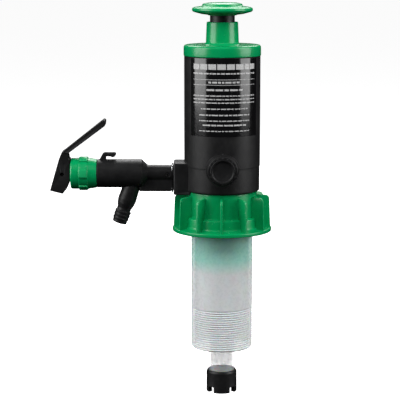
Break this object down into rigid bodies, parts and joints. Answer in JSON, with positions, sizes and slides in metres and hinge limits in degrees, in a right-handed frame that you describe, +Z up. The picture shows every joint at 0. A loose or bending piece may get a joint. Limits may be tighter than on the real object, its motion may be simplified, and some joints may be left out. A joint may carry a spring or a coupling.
{
  "type": "drum barrel pump",
  "caption": "Hand-operated pressure pump for a drum: plunger air pump, side lever tap with angled spout, finned union nut and threaded bung extension with a siphon tube.",
  "frame": {"origin": "centre of the extension's lower end face, on the pump's axis", "axes": "+Z up along the pump's axis towards the plunger knob; the tap points to -X; the front port and the label face -Y"},
  "size_m": [0.2168, 0.098, 0.3859],
  "materials": {
    "green_plastic": "moulded, satin gloss",
    "black_plastic": "moulded, satin",
    "natural_plastic": "uncoloured, translucent",
    "rubber": "matte",
    "stainless": "bright",
    "label_film": "gloss"
  },
  "bodies": {
    "pump": {"pump_body": "black_plastic", "label_plate": "label_film", "port_plug": "black_plastic", "port_plug_oring": "rubber", "top_cap": "green_plastic", "cap_oring": "rubber", "rod_bush": "natural_plastic", "rod_wiper": "rubber", "air_cylinder": "green_plastic", "riser_sleeve": "natural_plastic", "sleeve_oring": "rubber", "foot_manifold": "natural_plastic", "valve_plate": "natural_plastic", "air_check_valve": "rubber", "siphon_tube": "natural_plastic", "siphon_foot": "black_plastic", "threaded_extension": "natural_plastic", "extension_gasket": "rubber", "outlet_spigot": "natural_plastic", "spigot_oring_tap": "rubber", "spigot_oring_body": "rubber", "retaining_clip": "stainless", "shank_screw": "black_plastic", "tap_body": "black_plastic", "tap_nut": "green_plastic", "tap_spring": "stainless"},
    "plunger": {"plunger_knob": "green_plastic", "plunger_rod": "black_plastic", "piston_head": "black_plastic", "piston_cup": "rubber", "piston_bolt": "stainless"},
    "stem": {"valve_stem": "natural_plastic", "stem_oring": "rubber", "valve_disc": "rubber"},
    "lever": {"lever": "black_plastic", "lever_pin": "black_plastic"},
    "union_nut": {"union_nut": "green_plastic"}
  },
  "joints": [
    {"name": "plunger_slide", "type": "slide", "parent": "pump", "child": "plunger", "axis": [0, 0, 1], "range_m": [-0.004, 0.16]},
    {"name": "stem_slide", "type": "slide", "parent": "pump", "child": "stem", "axis": [-1, 0, 0], "range_m": [0, 0.004]},
    {"name": "lever_hinge", "type": "hinge", "parent": "stem", "child": "lever", "pos_m": [-0.1563, 0, 0.1734], "axis": [0, 1, 0], "range_deg": [0, 18], "stiffness_Nm_per_rad": 0.25, "springref_deg": -22.92, "deforming": ["tap_spring"]},
    {"name": "union_nut_spin", "type": "hinge", "parent": "pump", "child": "union_nut", "pos_m": [0, 0, 0.137], "axis": [0, 0, 1], "continuous": true}
  ],
  "couplings": [
    {"joint": "stem_slide", "follows": "lever_hinge", "m_per_rad": 0.0126}
  ]
}
